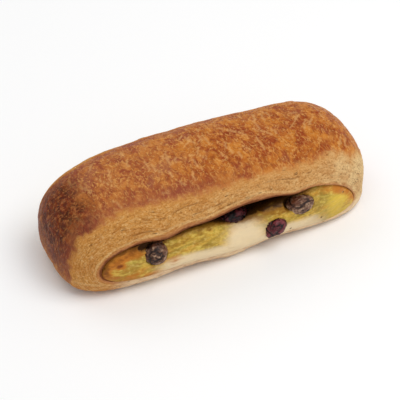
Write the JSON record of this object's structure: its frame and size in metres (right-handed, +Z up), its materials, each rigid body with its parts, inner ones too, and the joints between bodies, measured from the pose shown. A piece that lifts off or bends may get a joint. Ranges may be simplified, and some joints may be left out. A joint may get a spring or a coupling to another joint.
{
  "type": "raisin custard pastry",
  "caption": "Oblong baked pastry of layered golden-brown dough, open along both long sides, where yellow custard and dark raisins show beneath a wavy upper lip.",
  "frame": {"origin": "middle of the box's base, on the face that the pastry rests on", "axes": "+X along the pastry, -Y out of the front mouth, +Z up out of the browned top"},
  "size_m": [0.145, 0.0633, 0.043],
  "materials": {
    "crust": "satin, browned and mottled, paler on the cut sides",
    "custard": "semi-gloss",
    "raisin": "satin, wrinkled"
  },
  "bodies": {
    "root": {"dough": "crust", "custard": "custard", "raisin_1": "raisin", "raisin_2": "raisin", "raisin_3": "raisin", "raisin_4": "raisin", "raisin_5": "raisin", "raisin_6": "raisin", "raisin_7": "raisin"}
  },
  "joints": []
}
